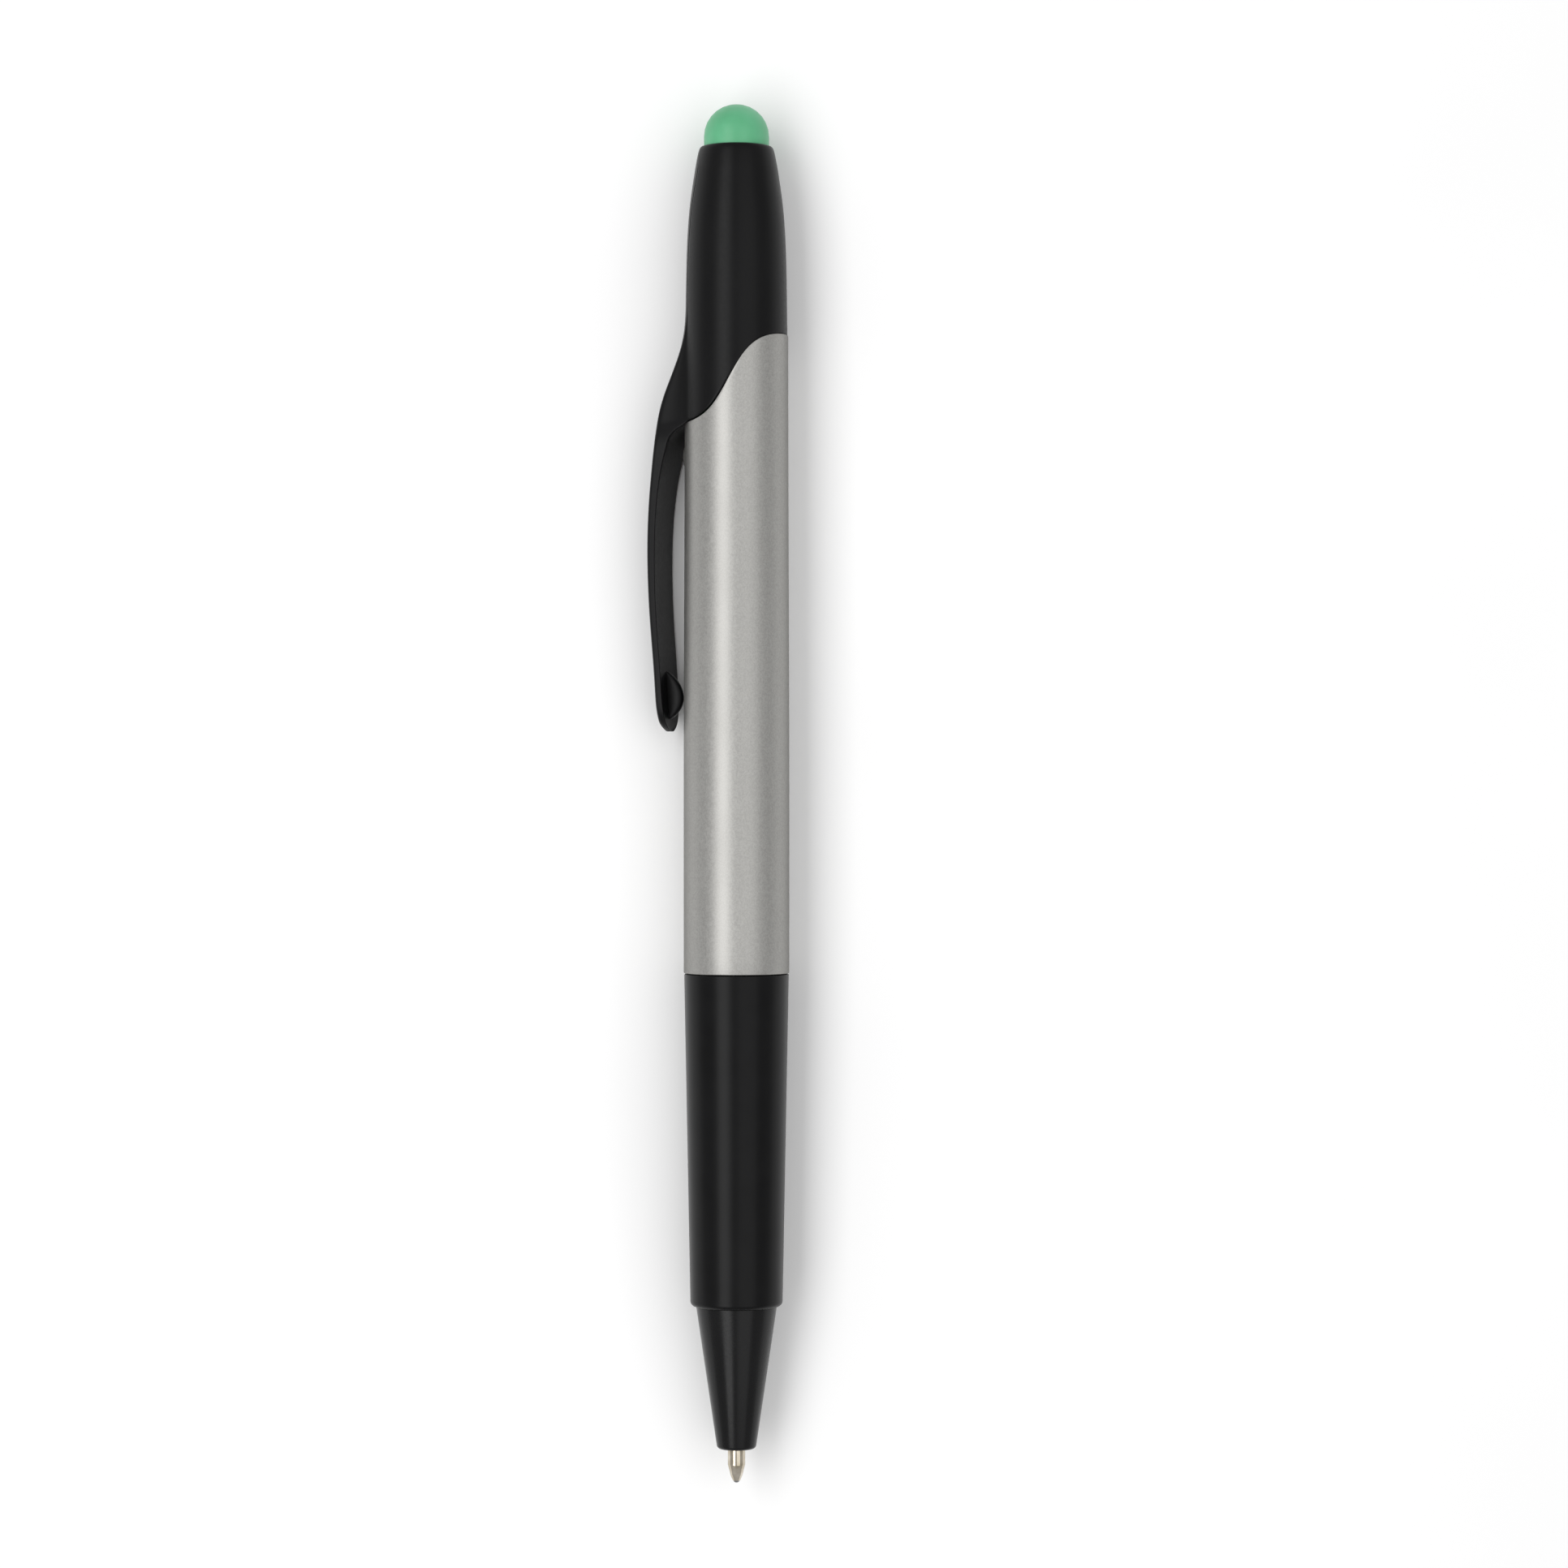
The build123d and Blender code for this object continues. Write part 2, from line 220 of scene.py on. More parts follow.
def add_node(tree, kind, links=None, **settings):
    """Adds a node, sets its values and inputs, and links its inputs from other nodes' outputs."""
    node = tree.nodes.new(kind)
    for key, value in settings.items():
        if hasattr(node, key):
            setattr(node, key, value)
        else:
            node.inputs[key.replace("_", " ")].default_value = value
    for name, source in (links or {}).items():
        tree.links.new(source, node.inputs[name])
    return node


def finish_of(name, **settings):
    """A new material: its tree, its main shader and the pen's coordinates in millimetres."""
    material = bpy.data.materials.new(name)
    material.use_nodes = True
    tree = material.node_tree
    shader = tree.nodes["Principled BSDF"]
    for key, value in settings.items():
        shader.inputs[key.replace("_", " ")].default_value = value
    place = add_node(tree, "ShaderNodeTexCoord")
    in_mm = add_node(
        tree, "ShaderNodeMapping", {"Vector": place.outputs["Object"]}, Scale=(1000, 1000, 1000),
    )
    return material, tree, shader, in_mm.outputs["Vector"]


def speckle(tree, where, size_mm, detail=2.0, stretch=None):
    """Noise whose grains are size_mm across, stretched along the pen if asked."""
    if stretch:
        squeezed = add_node(tree, "ShaderNodeMapping", {"Vector": where}, Scale=(1 / stretch, 1, 1))
        where = squeezed.outputs["Vector"]
    noise = add_node(tree, "ShaderNodeTexNoise", {"Vector": where}, Scale=1 / size_mm, Detail=detail)
    return noise.outputs["Fac"]


def spread(tree, source, low, high, start=0.3, end=0.7):
    """Maps a pattern's middle range onto low to high."""
    return add_node(
        tree, "ShaderNodeMapRange", {"Value": source},
        From_Min=start, From_Max=end, To_Min=low, To_Max=high,
    ).outputs["Result"]


def tint(tree, shader, source, dark, light):
    """Colours the shader between two hex colours by a pattern."""
    mix = add_node(tree, "ShaderNodeMix", {"Factor": source}, data_type="RGBA")
    mix.inputs[6].default_value = linear(dark)
    mix.inputs[7].default_value = linear(light)
    tree.links.new(mix.outputs[2], shader.inputs["Base Color"])
    return mix


def relief(tree, shader, *layers):
    """Stacks bumps, each (pattern, height in millimetres), and gives them to the shader."""
    normal = None
    for pattern, height in layers:
        links = {"Height": pattern}
        if normal:
            links["Normal"] = normal
        normal = add_node(tree, "ShaderNodeBump", links, Distance=height * MM, Strength=1.0).outputs["Normal"]
    tree.links.new(normal, shader.inputs["Normal"])


def moulded_plastic(name, dark, light, roughness, grain_mm=0.35, grain_height=0.0012, **settings):
    """Injection-moulded ABS: the mould's fine spark-eroded texture leaves a soft, slightly uneven sheen."""
    material, tree, shader, where = finish_of(name, IOR=1.53, **settings)
    cloud = speckle(tree, where, 6.0, 3.0, stretch=3)
    grain = speckle(tree, where, grain_mm, 2.0)
    tint(tree, shader, spread(tree, cloud, 0, 1), dark, light)
    wide = spread(tree, cloud, -0.03, 0.03)
    fine = spread(tree, grain, -0.03, 0.03)
    sheen = add_node(tree, "ShaderNodeMath", {0: wide, 1: fine}, operation="ADD").outputs[0]
    rough = add_node(tree, "ShaderNodeMath", {0: sheen}, operation="ADD")
    rough.inputs[1].default_value = roughness
    tree.links.new(rough.outputs[0], shader.inputs["Roughness"])
    relief(tree, shader, (grain, grain_height))
    return material


def silver_paint():
    """Silver lacquer sprayed on plastic: aluminium flakes lie flat in it and each catches the light alone."""
    material, tree, shader, where = finish_of(
        "silver lacquer", Metallic=0.85, Specular_Tint=(0.3, 0.3, 0.3, 1.0),
    )
    flake_mm = 0.12     # real flakes are a fifth of this, too fine to show
    flakes = add_node(tree, "ShaderNodeTexVoronoi", {"Vector": where}, Scale=1 / flake_mm)
    sparkle = add_node(tree, "ShaderNodeSeparateColor", {"Color": flakes.outputs["Color"]}).outputs[0]
    cloud = speckle(tree, where, 9.0, 2.0)
    tint(tree, shader, spread(tree, sparkle, 0, 1, 0, 1), "#9e9d9a", "#aeadaa")
    drift = spread(tree, cloud, -0.02, 0.02)
    base = spread(tree, sparkle, 0.4, 0.48, 0, 1)
    rough = add_node(tree, "ShaderNodeMath", {0: drift, 1: base}, operation="ADD")
    tree.links.new(rough.outputs[0], shader.inputs["Roughness"])
    relief(tree, shader, (sparkle, 0.0012), (speckle(tree, where, 1.6, 2.0), 0.0015))
    return material


def rubber(name, dark, light, roughness, grain_mm, grain_height, **settings):
    """Soft rubber: a matte skin with a fine stipple and no clear reflection."""
    material, tree, shader, where = finish_of(name, IOR=1.47, Roughness=roughness, **settings)
    grain = speckle(tree, where, grain_mm, 3.0)
    cloud = speckle(tree, where, 3.0, 2.0)
    tint(tree, shader, spread(tree, cloud, 0, 1), dark, light)
    relief(tree, shader, (grain, grain_height))
    return material


def felt(name, dark, light):
    """Bonded fibre: strands run along the nib, and ink lies darker between them."""
    material, tree, shader, where = finish_of(name, IOR=1.45, Roughness=0.9, Specular_IOR_Level=0.15)
    strands = speckle(tree, where, 0.12, 3.0, stretch=7)
    clumps = speckle(tree, where, 0.5, 2.0)
    tint(tree, shader, spread(tree, strands, 0, 1, 0.35, 0.65), dark, light)
    relief(tree, shader, (strands, 0.03), (clumps, 0.03))
    return material


def plated_metal(name, dark, light, roughness, line_mm=0.05):
    """Nickel-plated brass turned on a lathe: fine rings round the part blur what it mirrors."""
    material, tree, shader, where = finish_of(name, Metallic=1.0, Roughness=roughness)
    rings = add_node(tree, "ShaderNodeMapping", {"Vector": where}, Scale=(1, 0.02, 0.02)).outputs["Vector"]
    lines = speckle(tree, rings, line_mm, 1.0)
    tint(tree, shader, spread(tree, speckle(tree, where, 1.2), 0, 1), dark, light)
    relief(tree, shader, (lines, 0.0006))
    return material


def clear_plastic(name, colour, roughness):
    """Extruded polypropylene: milky, so that what is inside shows softly."""
    material, tree, shader, where = finish_of(name, IOR=1.49, Roughness=roughness, Transmission_Weight=0.55)
    cloud = speckle(tree, where, 2.0, 2.0, stretch=5)
    tint(tree, shader, spread(tree, cloud, 0, 1), colour, "#e6e9e6")
    return material


BLACK_CAP = moulded_plastic("black cap ABS", "#0b0b0c", "#101011", 0.36, Specular_IOR_Level=0.13)
BLACK_NOSE = moulded_plastic("black nose ABS", "#09090a", "#0e0e0f", 0.24, Specular_IOR_Level=0.2)
BLACK_CORE = moulded_plastic("black core ABS", "#131314", "#19191a", 0.4)
LINER = moulded_plastic("black polyethylene liner", "#101011", "#161617", 0.45)
SILVER = silver_paint()
GREEN_TUBE = moulded_plastic(
    "green highlighter polypropylene", "#0c9c2b", "#16ad38", 0.3, 0.5, 0.0008, Specular_IOR_Level=0.28,
    Subsurface_Weight=0.15, Subsurface_Scale=0.001, Subsurface_Radius=(0.3, 1.0, 0.3),
)
ACETAL = moulded_plastic("natural acetal", "#dcdcd7", "#e8e8e3", 0.38)
GREEN_DOME = rubber(
    "green conductive silicone", "#57a97b", "#63b588", 0.42, 0.12, 0.002,
    Subsurface_Weight=0.2, Subsurface_Scale=0.0008, Subsurface_Radius=(0.6, 1.0, 0.7),
)
GRIP = rubber("black soft-touch coating", "#09090a", "#0e0e0f", 0.3, 0.1, 0.0012, Specular_IOR_Level=0.16)
O_RING = rubber("black nitrile rubber", "#121213", "#181819", 0.5, 0.1, 0.002)
NIB_FELT = felt("green-inked felt", "#05421a", "#107a30")
RESERVOIR = felt("green-inked fibre core", "#1f7d3b", "#45a862")
NICKEL = plated_metal("nickel-plated brass", "#b3a893", "#d8d0c2", 0.1)
CARBIDE = plated_metal("polished tungsten carbide", "#7d7d7d", "#9a9a9a", 0.08)
SPRING_WIRE = plated_metal("spring steel wire", "#8f8f8f", "#b4b4b4", 0.25)
TUBE = clear_plastic("milky polypropylene tube", "#cdd1cd", 0.3)
INK = moulded_plastic("black ink paste", "#0a0a0d", "#101014", 0.15)


# ---- cap and clip, one moulding ----------------------------------------------------------------------
CAP_PROFILE = [
    (CAP_RIM, 4.05), (6.35, 4.55), (8.4, 4.89), (10.2, 5.17), (12.1, 5.4), (15.8, 5.64), (19.5, 5.75),
    (26.0, 5.82), (40.0, 5.88),
]
CLIP_TOP = [
    (24.1, 5.82), (26.9, 6.0), (30.55, 6.95), (34.2, 8.25), (37.9, 8.98), (41.6, 9.43), (45.3, 9.8),
    (50.9, 10.02), (58.2, 9.75), (63.8, 9.28), (69.3, 8.95), (CLIP_END, 8.8),
]
CLIP_UNDER = [
    (38.6, 7.2), (41.6, 8.0), (45.3, 8.55), (50.9, 8.83), (58.2, 8.65), (63.8, 8.22), (69.3, 7.88),
    (CLIP_END, 7.75),
]
CLIP_HALF_WIDTH = [
    (22.0, 3.2), (26.5, 3.35), (31.0, 3.5), (38.0, 3.4), (48.8, 3.15), (60.0, 3.05), (66.0, 3.0),
]
CLIP_START = 24.1       # where the clip begins to rise out of the cap
CLIP_FREE = 36.45       # where its root leaves the cap's edge
NOSE_START = 67.6       # where its rounded end begins
CLIP_ROOT = 2.3         # length of the fillet under its root
SECTION_ARCH = 0.14     # how much the clip's outer face is crowned
TOP_SHARES = (0, 0.3, 0.58, 0.8, 0.93, 1)
SIDE_SHARES = (0.22, 0.55, 0.86)
UNDER_SHARES = (0.92, 0.66, 0.33, 0)
CAP_COLUMNS = 11


def clip_half_width(s):
    """Half the clip's width: nearly straight sides, then a round end."""
    if s <= NOSE_START:
        return along(s, CLIP_HALF_WIDTH)
    share = min(1.0, (s - NOSE_START) / (CLIP_END - NOSE_START))
    return along(NOSE_START, CLIP_HALF_WIDTH) * sqrt(1 - 0.985 * share ** 2)


def clip_under(s):
    """Distance of the clip's under face from the pen's axis: a fillet at the root, then a long arch."""
    share = min(1.0, max(0.0, (s - CLIP_FREE) / CLIP_ROOT))
    fillet = sqrt(1 - (1 - share) ** 2)
    rim = along(s, CAP_PROFILE)
    return rim + (along(max(s, CLIP_FREE + CLIP_ROOT), CLIP_UNDER) - rim) * fillet


def top_point(s, share):
    """A point of the outer face, at a share of the half-width: round like the cap at first, then flat."""
    r = along(s, CAP_PROFILE)
    z = clip_half_width(s) * share
    height = max(r, along(s, CLIP_TOP)) if s > CLIP_START else r
    flat = eased(s, CLIP_START - 1, CLIP_START + 9)
    round_dip = r - sqrt(max(0.0, r * r - z * z))
    flat_dip = SECTION_ARCH * share ** 2 + 0.3 * max(0.0, (share - 0.8) / 0.2) ** 2
    end_dip = 0.35 * eased(s, CLIP_END - 0.9, CLIP_END)
    return Vector((s, -(height - (1 - flat) * round_dip - flat * flat_dip - end_dip), z))


def foot_point(s):
    """Where the side of the clip meets the cap, or its under face further on."""
    r = along(s, CAP_PROFILE)
    half_width = clip_half_width(s)
    angle = asin(min(0.94, half_width / r)) + 0.05 + 0.05 * eased(s, CLIP_START, CLIP_START + 9)
    on_cap = Vector((s, -r * cos(angle), r * sin(angle)))
    free = eased(s, CLIP_FREE, CLIP_FREE + CLIP_ROOT)
    on_arm = Vector((s, -clip_under(s), half_width))
    lift = sqrt(1 - (1 - min(1.0, max(0.0, (s - CLIP_FREE) / CLIP_ROOT))) ** 2)
    y = on_cap.y + (on_arm.y - on_cap.y) * lift
    return Vector((s, y, on_cap.z + (on_arm.z - on_cap.z) * free))


def side_point(s, share):
    """A point on the clip's side wall, from its top edge down to its foot, flared at the foot."""
    top, foot = top_point(s, 1), foot_point(s)
    flare = share ** 3 if s < CLIP_FREE else share
    return Vector((s, top.y + (foot.y - top.y) * share, top.z + (foot.z - top.z) * flare))


def under_point(s, share):
    """A point of the under face, slightly hollow across."""
    foot = foot_point(s)
    if s <= CLIP_FREE:
        r = along(s, CAP_PROFILE)
        z = foot.z * share
        return Vector((s, -sqrt(r * r - z * z), z))
    hollow = 0.1 * (1 - share ** 2) * eased(s, CLIP_FREE, CLIP_FREE + CLIP_ROOT)
    r = along(CLIP_FREE, CAP_PROFILE)
    z = foot.z * share
    middle = -clip_under(s) - hollow
    open_share = eased(s, CLIP_FREE, CLIP_FREE + CLIP_ROOT)
    arc = -sqrt(r * r - z * z) + r
    return Vector((s, middle + arc * (1 - open_share), z))


def cap_point(s, column, foot_angle):
    """A point of the cap's round part, with the columns spaced evenly from the foot to the back."""
    angle = foot_angle + (pi - foot_angle) * column / CAP_COLUMNS
    r = along(s, CAP_PROFILE)
    return Vector((s, -r * cos(angle), r * sin(angle)))


def ring_of(half):
    """A full ring from the half on the +Z side, whose first and last points are on the middle plane."""
    return half + [Vector((p.x, p.y, -p.z)) for p in reversed(half[1:-1])]


def outer_half(v_station):
    """Half a ring of the cap's outside. v_station gives the station for a point's height."""
    half = [top_point(v_station(-5.8), t) for t in TOP_SHARES]
    half += [side_point(v_station(-5.8), t) for t in SIDE_SHARES]
    foot = foot_point(v_station(-4.6))
    half.append(foot)
    foot_angle = atan2(foot.z, -foot.y)
    for column in range(1, CAP_COLUMNS + 1):
        rough = foot_angle + (pi - foot_angle) * column / CAP_COLUMNS
        half.append(cap_point(v_station(-BARREL_R * cos(rough)), column, foot_angle))
    return half


def skin(bm, rings, closed=True):
    """Quads between rings of vertices."""
    for a, b in zip(rings, rings[1:]):
        count = len(a) if closed else len(a) - 1
        for k in range(count):
            n = (k + 1) % len(a)
            bm.faces.new((a[k], a[n], b[n], b[k]))


def add_ring(bm, points):
    return [bm.verts.new(p) for p in points]


def cap_with_clip():
    """The cap and its clip as one cage, smoothed at the end."""
    bm = bmesh.new()
    last_even = 21.5
    even_rows = [7.4, 8.4, 10.2, 12.1, 14.0, 15.8, 17.6, 19.5, last_even]
    shares = (0.14, 0.28, 0.42, 0.55, 0.67, 0.78, 0.88, 0.95, 0.988)

    def level(s, r):
        """A plain ring whose columns match the outside's."""
        return ring_of([
            Vector((s, -r * cos(atan2(p.z, -p.y)), r * sin(atan2(p.z, -p.y))))
            for p in outer_half(lambda y: last_even)
        ])

    crown = [(5.36, 0.6), (5.36, 3.5), (5.3, 3.73), (5.0, 3.75), (4.9, 3.78), (CAP_RIM, 3.86), (CAP_RIM, 4.0),
             (4.93, 4.14), (5.15, 4.27), (5.6, 4.39), (6.35, 4.55)]
    outside = [add_ring(bm, level(s, r)) for s, r in crown]
    outside += [add_ring(bm, ring_of(outer_half(lambda y, s=s: s))) for s in even_rows]
    for share in shares:
        outside.append(add_ring(bm, ring_of(outer_half(
            lambda y, share=share: last_even + (mouth_station(y) - last_even) * share
        ))))
    skin(bm, outside)
    bm.faces.new(outside[0])

    # the clip's arm goes on from the last ring's clip columns
    clip_columns = len(TOP_SHARES) + len(SIDE_SHARES) + 1
    mouth = outside[-1]
    strip = mouth[clip_columns - 1::-1] + mouth[:-clip_columns:-1]
    arm_rows = [CLIP_FREE + CLIP_ROOT * x for x in (0.06, 0.2, 0.42, 0.7, 1)]
    arm_rows += [40.2, 42.2, 45.0, 48.0, 51.5, 55.0, 58.5, 62.0, 65.0, NOSE_START]
    arm_rows += [NOSE_START + (CLIP_END - NOSE_START) * x for x in (0.3, 0.56, 0.76, 0.9, 0.985)]

    def arm_half(s):
        half = [top_point(s, t) for t in TOP_SHARES]
        half += [side_point(s, t) for t in SIDE_SHARES]
        return half + [foot_point(s)]

    def across(half):
        """A strip from the foot on the +Z side, over the top, to the foot on the other side."""
        return half[::-1] + [Vector((p.x, p.y, -p.z)) for p in half[1:]]

    tops = [strip] + [add_ring(bm, across(arm_half(s))) for s in arm_rows]
    skin(bm, tops, closed=False)

    # the under face, whose first row is the cap's edge under the clip
    def under_row(s):
        half = [under_point(s, t) for t in UNDER_SHARES]
        return half + [Vector((p.x, p.y, -p.z)) for p in reversed(half[:-1])]

    edge_under = add_ring(bm, under_row(CLIP_FREE - 0.12))
    unders = [edge_under] + [add_ring(bm, under_row(s)) for s in arm_rows]
    for i, (top, under) in enumerate(zip(tops, unders)):
        unders[i] = [top[0]] + under + [top[-1]]
    skin(bm, unders, closed=False)

    # the clip's end: a grid from the top row down to the under row
    top, under = tops[-1], unders[-1]
    clip_top = top[len(SIDE_SHARES) + 1:-len(SIDE_SHARES) - 1]
    levels = [clip_top]
    steps = len(SIDE_SHARES) + 1
    for k in range(1, steps):
        left, right = top[steps - k], top[-1 - steps + k]
        row = [left]
        for v in clip_top[1:-1]:
            share = (v.co.z - clip_top[0].co.z) / (clip_top[-1].co.z - clip_top[0].co.z)
            low = under[0].co.lerp(under[-1].co, share)
            point = v.co.lerp(low, k / steps)
            point.x = CLIP_END
            row.append(bm.verts.new(point))
        levels.append(row + [right])
    skin(bm, levels, closed=False)
    last = levels[-1]
    bottom = unders[-1]
    stitch(bm, last, bottom)

    # the cap's edge and inside
    rim = [mouth[k] for k in range(clip_columns, len(mouth) - clip_columns + 1)]
    full = [mouth[clip_columns - 1]] + rim + [mouth[-clip_columns + 1]]
    ring = full + edge_under[::-1]

    def inner_ring(r, back):
        points = []
        for v in ring:
            angle = atan2(v.co.z, -v.co.y)
            y = -r * cos(angle)
            points.append(Vector((mouth_station(y) - back, y, r * sin(angle))))
        return add_ring(bm, points)

    def plain_ring(s, r):
        return add_ring(bm, [
            Vector((s, -r * cos(atan2(v.co.z, -v.co.y)), r * sin(atan2(v.co.z, -v.co.y)))) for v in ring
        ])

    inside = [ring, inner_ring(5.74, 0.02), inner_ring(5.6, 0), inner_ring(4.95, 0), inner_ring(4.8, 0.02),
              inner_ring(WALL_BORE, 0.14), inner_ring(WALL_BORE, 1.0), plain_ring(22.0, WALL_BORE),
              plain_ring(17.3, WALL_BORE), plain_ring(17.2, 4.65), plain_ring(17.2, 3.9),
              plain_ring(17.0, 3.8), plain_ring(CAP_FLOOR + 0.2, 3.8), plain_ring(CAP_FLOOR, 3.6)]
    skin(bm, inside)
    bm.faces.new(inside[-1])
    rib(bm)
    piece = new_piece("cap_with_clip", bm, None, BLACK_CAP, ("cap_shell", "clip"), crisp=0)
    smooth(piece)
    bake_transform(piece)
    return piece


def stitch(bm, a, b):
    """Joins two rows that share their ends but not their number of vertices."""
    i, j = 0, 0
    while i < len(a) - 1 or j < len(b) - 1:
        go_a = i < len(a) - 1 and (j == len(b) - 1 or (i + 1) / (len(a) - 1) <= (j + 1) / (len(b) - 1))
        corners = [a[i], a[i + 1], b[j]] if go_a else [a[i], b[j + 1], b[j]]
        if go_a and j < len(b) - 1 and abs((i + 1) / (len(a) - 1) - (j + 1) / (len(b) - 1)) < 0.06:
            corners = [a[i], a[i + 1], b[j + 1], b[j]]
            j += 1
        if len(set(corners)) > 2:
            bm.faces.new(list(dict.fromkeys(corners)))
        if go_a:
            i += 1
        else:
            j += 1


def rib(bm):
    """The narrow rounded rib under the clip's end."""
    profile = [(64.3, 8.3), (64.9, 7.55), (65.7, 6.85), (66.6, 6.42), (67.4, 6.3), (68.2, 6.42), (68.9, 6.8),
               (69.6, 7.4), (70.0, 8.2)]
    half_width, root = 0.55, 8.7
    crest = [(-1, 0.0), (-1, 0.75), (-0.7, 0.95), (0, 1.0), (0.7, 0.95), (1, 0.75), (1, 0.0)]
    rows = []
    for s, height in profile:
        row = [Vector((s, -(root - (root - height) * up), half_width * side)) for side, up in crest]
        rows.append(add_ring(bm, row))
    skin(bm, rows, closed=False)


def smooth(piece, levels=2):
    """Rounds a cage into its final surface."""
    subdivision = piece.modifiers.new("rounding", "SUBSURF")
    subdivision.levels = levels
    subdivision.render_levels = levels


# ---- stylus dome -------------------------------------------------------------------------------------
def stylus():
    """The hollow silicone dome: a half ball on a short skirt that sits in the cap's recess."""
    radius, wall, foot = 3.7, 0.9, CAP_RIM + 0.45
    bore = radius - wall
    corners = [
        (0, 0, 0), (0, radius, radius - 0.05), (foot, radius, 0.08), (foot, bore, 0.08),
        (wall, bore, bore - 0.05), (wall, 0, 0),
    ]
    return turned_piece("stylus", corners, "cap", GREEN_DOME, ("stylus_dome",))


# ---- silver barrel -----------------------------------------------------------------------------------
BULKHEAD = (61.5, 63.0)     # the wall behind the highlighter
BAND_START = 73.5           # where the barrel's draft ends
MOUTH_EDGE = 0.09           # rounding of the mouth's edges
SEAM_EDGE = 0.12            # bevel at the barrel's lower end


def barrel_radius(s):
    """The barrel narrows a little towards its mouth, by the mould's draft."""
    return along(s, [(20.0, 5.88), (40.0, 5.9), (BAND_START, BARREL_R), (SEAM, BARREL_R)])


def barrel_shell():
    """The barrel with its scooped mouth, its bulkhead and the small boss under the clip."""
    bm = bmesh.new()
    sides = 144
    angles = [2 * pi * k / sides for k in range(sides)]

    def ring(station, radius):
        """A ring whose station and radius may change round the barrel."""
        points = []
        for a in angles:
            start = mouth_station(-BARREL_R * cos(a)) + MOUTH_GAP
            s = station(start)
            r = radius(s)
            points.append(Vector((s, -r * cos(a), r * sin(a))))
        return add_ring(bm, points)

    def at_mouth(back, r):
        return ring(lambda m: m + back, lambda s: r(s) if callable(r) else r)

    inside = [ring(lambda m: BULKHEAD[0], lambda s: r) for r in (0.6, 4.4, WALL_BORE)]
    inside += [ring(lambda m: 48.0, lambda s: WALL_BORE), at_mouth(0.6, WALL_BORE)]
    lip = []
    for k in range(5):
        a = pi / 2 * k / 4
        lip.append(at_mouth(MOUTH_EDGE * (1 - sin(a)), WALL_BORE + MOUTH_EDGE * (1 - cos(a))))
    for k in range(5):
        a = pi / 2 * k / 4
        inward = MOUTH_EDGE * (1 - sin(a))
        lip.append(at_mouth(MOUTH_EDGE * (1 - cos(a)), lambda s, d=inward: barrel_radius(s) - d))
    outside = [
        ring(lambda m, t=t: m + (40.0 - m) * t, barrel_radius) for t in (0.08, 0.2, 0.36, 0.55, 0.78, 1)
    ]
    outside += [ring(lambda m, s=s: s, barrel_radius) for s in (46, 52, 58, 64, 69, BAND_START, 82, 90, 96)]
    end = [
        (SEAM - SEAM_EDGE, BARREL_R), (SEAM - 0.03, BARREL_R - 0.04), (SEAM, BARREL_R - SEAM_EDGE),
        (SEAM, WALL_BORE), (80.0, WALL_BORE), (BULKHEAD[1], WALL_BORE), (BULKHEAD[1], 4.4),
        (BULKHEAD[1], 0.6),
    ]
    end = [ring(lambda m, s=s: s, lambda s, r=r: r) for s, r in end]
    rings = inside + lip + outside + end
    skin(bm, rings)
    bm.faces.new(rings[0])
    bm.faces.new(rings[-1])
    barrel_boss(bm)
    return new_piece("barrel_shell", bm, "barrel", SILVER, ("barrel",))


def barrel_boss(bm):
    """The lens-shaped boss under the clip, where the plastic entered the mould, with its small gate mark."""
    centre, half_length, half_width, height = 40.0, 1.4, 2.0, 0.32
    gate_r = 0.22
    sides = 40
    heights = [(gate_r, 0.62), (gate_r + 0.06, 1.0), (0.4, 0.97), (0.6, 0.86), (0.78, 0.66),
               (0.9, 0.42), (0.97, 0.2), (1.0, 0.0), (1.0, -1.0)]
    rings = []
    for share, up in heights:
        points = []
        for k in range(sides):
            a = 2 * pi * k / sides
            s = centre + half_length * share * cos(a)
            turn = half_width * share * sin(a) / BARREL_R
            r = barrel_radius(s) - 0.02 + height * up
            points.append(Vector((s, -r * cos(turn), r * sin(turn))))
        rings.append(add_ring(bm, points))
    skin(bm, rings)
    bm.faces.new(rings[0])
    bm.faces.new(rings[-1])


# ---- highlighter -------------------------------------------------------------------------------------
HOLDER_R = 4.64         # the green tube where the barrel holds it
HOLDER_END = 60.0       # its closed end
NIB_R = 1.82            # the felt rod


def highlighter_tube():
    """The green tube: a collar round the nib, a long shoulder, and the groove that the liner seals in."""
    corners = [
        (16.6, NIB_R + 0.03, 0), (16.6, 2.25, 0.12), (17.0, 2.68, 0.25), (20.0, 2.68, 0.8), (22.8, 4.45, 0.5),
        (23.7, 4.5, 0.12), (24.05, 4.34, 0.12), (24.5, 4.34, 0.12), (24.85, HOLDER_R, 0.15),
        (HOLDER_END, HOLDER_R - 0.02, 0.12), (HOLDER_END, 3.93, 0), (25.6, 3.93, 0.2),
        (25.6, NIB_R + 0.03, 0),
    ]
    return turned_piece(
        "highlighter_tube", corners, "barrel", GREEN_TUBE, ("highlighter_holder",),
        closed=True,
    )


